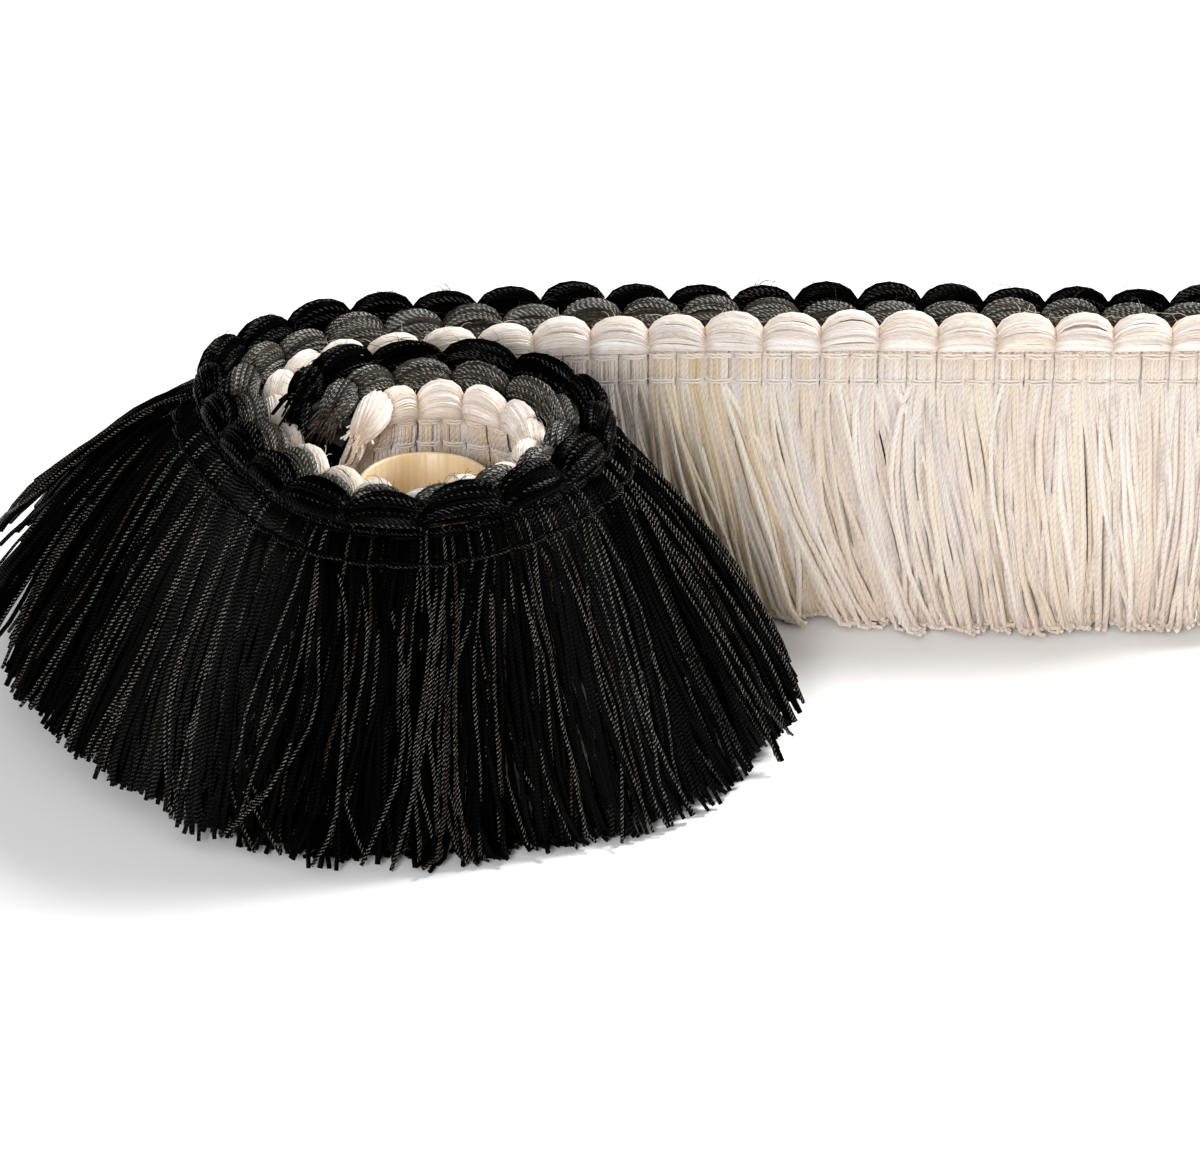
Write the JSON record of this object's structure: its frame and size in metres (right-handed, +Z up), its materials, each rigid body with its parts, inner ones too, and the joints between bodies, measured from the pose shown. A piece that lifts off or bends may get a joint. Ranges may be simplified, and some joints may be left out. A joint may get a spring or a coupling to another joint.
{
  "type": "tassel fringe trim",
  "caption": "Double-sided brush fringe trim with a bobble heading in white, grey and black yarn, standing on its fringe in one loop with a straight tail.",
  "frame": {"origin": "on the floor, under the middle of the trim's outline seen from above", "axes": "+X along the straight tail towards its cut end, +Y away from the loop's front, +Z up"},
  "size_m": [0.2662, 0.1524, 0.0723],
  "materials": {
    "white_yarn": "matte twisted yarn, white with cream and pale gold",
    "grey_yarn": "soft yarn, grey mottled with black",
    "black_yarn": "twisted yarn with a slight lustre",
    "tape": "plain woven tape",
    "cream_core": "smooth cream tube, slightly see-through"
  },
  "bodies": {
    "root": {"heading_tape": "tape", "core": "cream_core", "bobbles_white": "white_yarn", "bobbles_grey": "grey_yarn", "bobbles_black": "black_yarn", "fringe_white_01": "white_yarn", "fringe_white_02": "white_yarn", "fringe_white_03": "white_yarn", "fringe_white_04": "white_yarn", "fringe_white_05": "white_yarn", "fringe_white_06": "white_yarn", "fringe_white_07": "white_yarn", "fringe_white_08": "white_yarn", "fringe_white_09": "white_yarn", "fringe_white_10": "white_yarn", "fringe_white_11": "white_yarn", "fringe_white_12": "white_yarn", "fringe_white_13": "white_yarn", "fringe_white_14": "white_yarn", "fringe_white_15": "white_yarn", "fringe_white_16": "white_yarn", "fringe_black_01": "black_yarn", "fringe_black_02": "black_yarn", "fringe_black_03": "black_yarn", "fringe_black_04": "black_yarn", "fringe_black_05": "black_yarn", "fringe_black_06": "black_yarn", "fringe_black_07": "black_yarn", "fringe_black_08": "black_yarn", "fringe_black_09": "black_yarn", "fringe_black_10": "black_yarn", "fringe_black_11": "black_yarn", "fringe_black_12": "black_yarn", "fringe_black_13": "black_yarn", "fringe_black_14": "black_yarn", "fringe_black_15": "black_yarn", "fringe_white_17": "white_yarn"}
  },
  "joints": []
}
